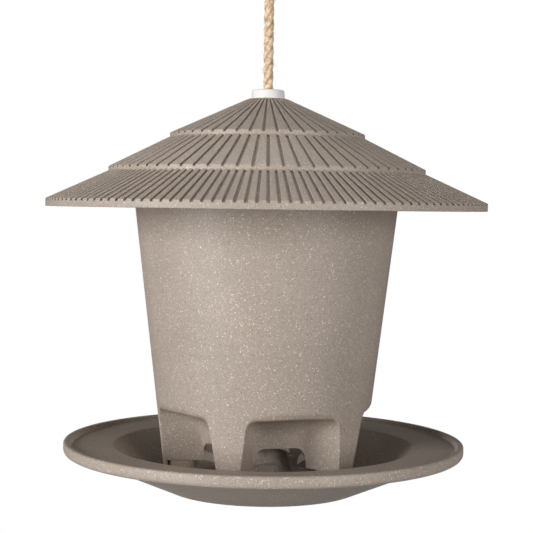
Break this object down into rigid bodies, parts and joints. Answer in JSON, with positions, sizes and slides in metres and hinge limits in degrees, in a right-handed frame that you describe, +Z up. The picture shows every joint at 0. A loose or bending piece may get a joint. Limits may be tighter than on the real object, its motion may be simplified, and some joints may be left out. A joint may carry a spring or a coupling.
{
  "type": "hanging bird feeder",
  "caption": "Hanging seed feeder: a wide round tiered roof over a tapered hopper that stands on legs in a dish-shaped tray, all threaded on one knotted rope.",
  "frame": {"origin": "the point in the eye of the hanging loop where the hook bears, on the rope's axis", "axes": "+Z up along the rope; -Y to the front, where one leg stands 19 degrees to the left; +X to the right"},
  "size_m": [0.25, 0.25, 0.4029],
  "materials": {
    "rope": "twisted natural fibre, dry and hairy",
    "white_cap": "smooth soft-touch moulded white",
    "roof_composite": "matte greige composite with fine pale and gold speckles",
    "body_composite": "matte greige composite with fine pale and gold speckles"
  },
  "bodies": {
    "rope": {"rope": "rope", "hanging_loop": "rope", "loop_knot": "rope", "stopper_knot": "rope"},
    "tray": {"tray": "body_composite"},
    "hopper": {"hopper": "body_composite"},
    "cap": {"rope_cap": "white_cap"},
    "roof": {"roof": "roof_composite"}
  },
  "joints": [
    {"name": "tray_swivel", "type": "hinge", "parent": "rope", "child": "tray", "pos_m": [0, 0, -0.375], "axis": [0, 0, 1], "continuous": true},
    {"name": "hopper_lift", "type": "slide", "parent": "tray", "child": "hopper", "axis": [0, 0, 1], "range_m": [0, 0.025]},
    {"name": "roof_lift", "type": "slide", "parent": "hopper", "child": "cap", "axis": [0, 0, 1], "range_m": [0, 0.07]},
    {"name": "roof_turn", "type": "hinge", "parent": "cap", "child": "roof", "pos_m": [0, 0, -0.175], "axis": [0, 0, 1], "continuous": true}
  ]
}
